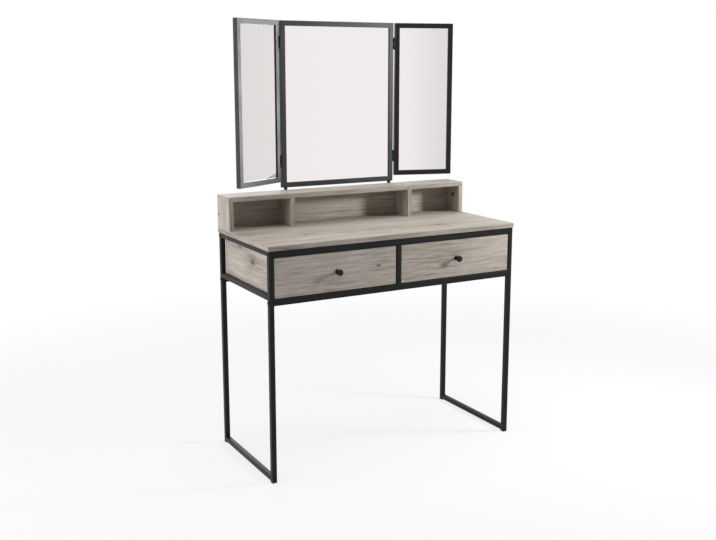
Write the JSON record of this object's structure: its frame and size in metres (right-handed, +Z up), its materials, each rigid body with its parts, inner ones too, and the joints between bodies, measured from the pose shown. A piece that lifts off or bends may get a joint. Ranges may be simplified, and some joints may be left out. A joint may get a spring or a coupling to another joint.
{
  "type": "dressing table",
  "caption": "Dressing table with drawers and a cubby hutch on a black steel tube frame, and a folding three-part mirror behind.",
  "frame": {"origin": "floor, under the middle of the whole object's box", "axes": "+X to the sitter's right, +Y from the sitter to the mirror, +Z up"},
  "size_m": [0.9, 0.435, 1.402],
  "materials": {
    "greige_board": "matt wood-grain foil",
    "black_frame": "black satin powder coat",
    "mirror_frame": "dark grey satin coat",
    "mirror_glass": "silvered glass",
    "back_board": "plain fibreboard",
    "drawer_board": "matt wood-grain foil",
    "drawer_base": "thin fibreboard",
    "dowel_wood": "bare beech",
    "foot_plastic": "moulded black",
    "black_hardware": "black oxide",
    "zinc_hardware": "zinc plated",
    "cam_metal": "dark cast zinc",
    "hinge_metal": "black plated",
    "knob_black": "black satin"
  },
  "bodies": {
    "table": {"tabletop": "greige_board", "front_top_rail": "black_frame", "front_lower_rail": "black_frame", "back_top_rail": "black_frame", "back_lower_rail": "black_frame", "centre_post": "black_frame", "foot_glides": "foot_plastic", "frame_bolts": "black_hardware", "tabletop_screws": "zinc_hardware", "centre_divider": "greige_board", "back_panel": "back_board", "cabinet_runners": "zinc_hardware", "cabinet_screws": "zinc_hardware", "hutch_top": "greige_board", "hutch_back": "greige_board", "hutch_cam_locks": "cam_metal", "hutch_side_screws": "black_hardware", "hutch_dowels": "dowel_wood", "centre_mirror_frame": "mirror_frame", "centre_mirror_glass": "mirror_glass", "centre_mirror_backing": "back_board", "post_screws": "black_hardware", "hinge_pins": "hinge_metal", "fixed_hinge_screws": "hinge_metal", "left_side_frame": "black_frame", "left_side_panel": "greige_board", "hutch_left_side": "greige_board", "hutch_left_divider": "greige_board", "left_mirror_post": "black_frame", "left_hinge_fixed_leaves": "hinge_metal", "right_side_frame": "black_frame", "right_side_panel": "greige_board", "hutch_right_side": "greige_board", "hutch_right_divider": "greige_board", "right_mirror_post": "black_frame", "right_hinge_fixed_leaves": "hinge_metal"},
    "left_drawer": {"left_drawer_front": "greige_board", "left_drawer_sides": "drawer_board", "left_drawer_back": "drawer_board", "left_drawer_bottom": "drawer_base", "left_drawer_runners": "zinc_hardware", "left_drawer_knob": "knob_black", "left_drawer_screws": "zinc_hardware"},
    "left_wing": {"left_wing_frame": "mirror_frame", "left_wing_glass": "mirror_glass", "left_wing_backing": "back_board", "left_wing_hinge_leaves": "hinge_metal", "left_wing_hinge_screws": "hinge_metal"},
    "right_drawer": {"right_drawer_front": "greige_board", "right_drawer_sides": "drawer_board", "right_drawer_back": "drawer_board", "right_drawer_bottom": "drawer_base", "right_drawer_runners": "zinc_hardware", "right_drawer_knob": "knob_black", "right_drawer_screws": "zinc_hardware"},
    "right_wing": {"right_wing_frame": "mirror_frame", "right_wing_glass": "mirror_glass", "right_wing_backing": "back_board", "right_wing_hinge_leaves": "hinge_metal", "right_wing_hinge_screws": "hinge_metal"}
  },
  "joints": [
    {"name": "left_drawer_slide", "type": "slide", "parent": "table", "child": "left_drawer", "axis": [0, -1, 0], "range_m": [0, 0.24]},
    {"name": "right_drawer_slide", "type": "slide", "parent": "table", "child": "right_drawer", "axis": [0, -1, 0], "range_m": [0, 0.24]},
    {"name": "left_wing_hinge", "type": "hinge", "parent": "table", "child": "left_wing", "pos_m": [-0.219, 0.2, 1.137], "axis": [0, 0, 1], "range_deg": [-28, 152]},
    {"name": "right_wing_hinge", "type": "hinge", "parent": "table", "child": "right_wing", "pos_m": [0.219, 0.2, 1.137], "axis": [0, 0, -1], "range_deg": [-15.5, 164.5]}
  ]
}
